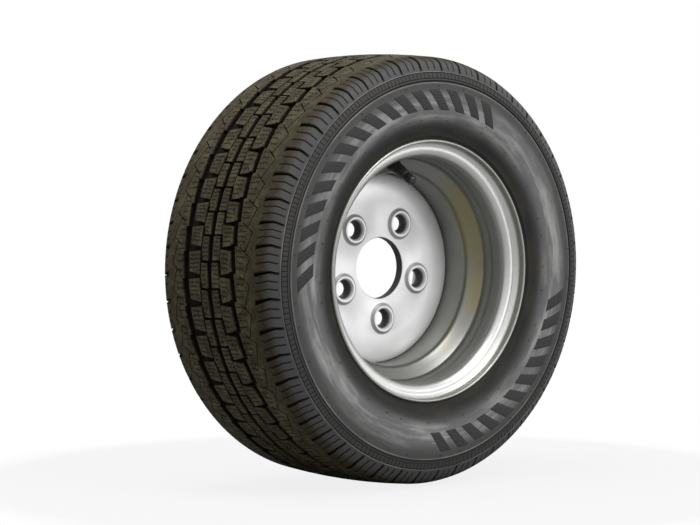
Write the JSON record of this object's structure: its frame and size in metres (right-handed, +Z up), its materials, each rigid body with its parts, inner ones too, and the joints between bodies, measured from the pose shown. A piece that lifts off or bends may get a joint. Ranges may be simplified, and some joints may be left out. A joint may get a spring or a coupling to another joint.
{
  "type": "trailer wheel and tyre assembly",
  "caption": "Small wide trailer tyre on a sheet steel rim with a bolted disc and a snap-in valve.",
  "frame": {"origin": "centre of the tyre and of the two bead seats, on the wheel's axis", "axes": "the axle runs along Y with the outboard side to -Y, +Z is up as the wheel stands, +X is to the right seen from outboard"},
  "size_m": [0.468, 0.1964, 0.468],
  "materials": {
    "tyre": "matte black rubber",
    "rim_barrel": "silver paint",
    "wheel_disc": "silver paint",
    "disc_welds": "silver paint over weld",
    "valve_body": "black rubber",
    "brass": "plain",
    "core_gasket": "smooth",
    "core_spring": "plain wire",
    "seal": "black rubber",
    "valve_cap": "black plastic"
  },
  "bodies": {
    "wheel": {"tyre": "tyre", "rim_barrel": "rim_barrel", "wheel_disc": "wheel_disc", "disc_welds": "disc_welds", "valve_body": "valve_body", "valve_stem": "brass", "core_plug": "brass", "core_barrel": "brass", "core_gasket": "core_gasket", "core_spring": "core_spring"},
    "pin": {"core_pin": "brass", "core_cup": "brass", "core_cup_seal": "seal"},
    "seal": {"cap_seal": "seal"},
    "cap": {"valve_cap": "valve_cap"}
  },
  "joints": [
    {"name": "pin_push", "type": "slide", "parent": "wheel", "child": "pin", "axis": [-0.0442, 0.8616, 0.5056], "range_m": [0, 0.0012], "stiffness_N_per_m": 600, "springref_m": -0.003, "deforming": ["core_spring"]},
    {"name": "cap_lift", "type": "slide", "parent": "wheel", "child": "seal", "axis": [0.0442, -0.8616, -0.5056], "range_m": [0, 0.00397]},
    {"name": "cap_turn", "type": "hinge", "parent": "seal", "child": "cap", "pos_m": [-0.00996, -0.03949, 0.1138], "axis": [0.0442, -0.8616, -0.5056], "range_deg": [0, 1800]}
  ],
  "couplings": [
    {"joint": "cap_turn", "follows": "cap_lift", "rad_per_m": 7911.4}
  ]
}
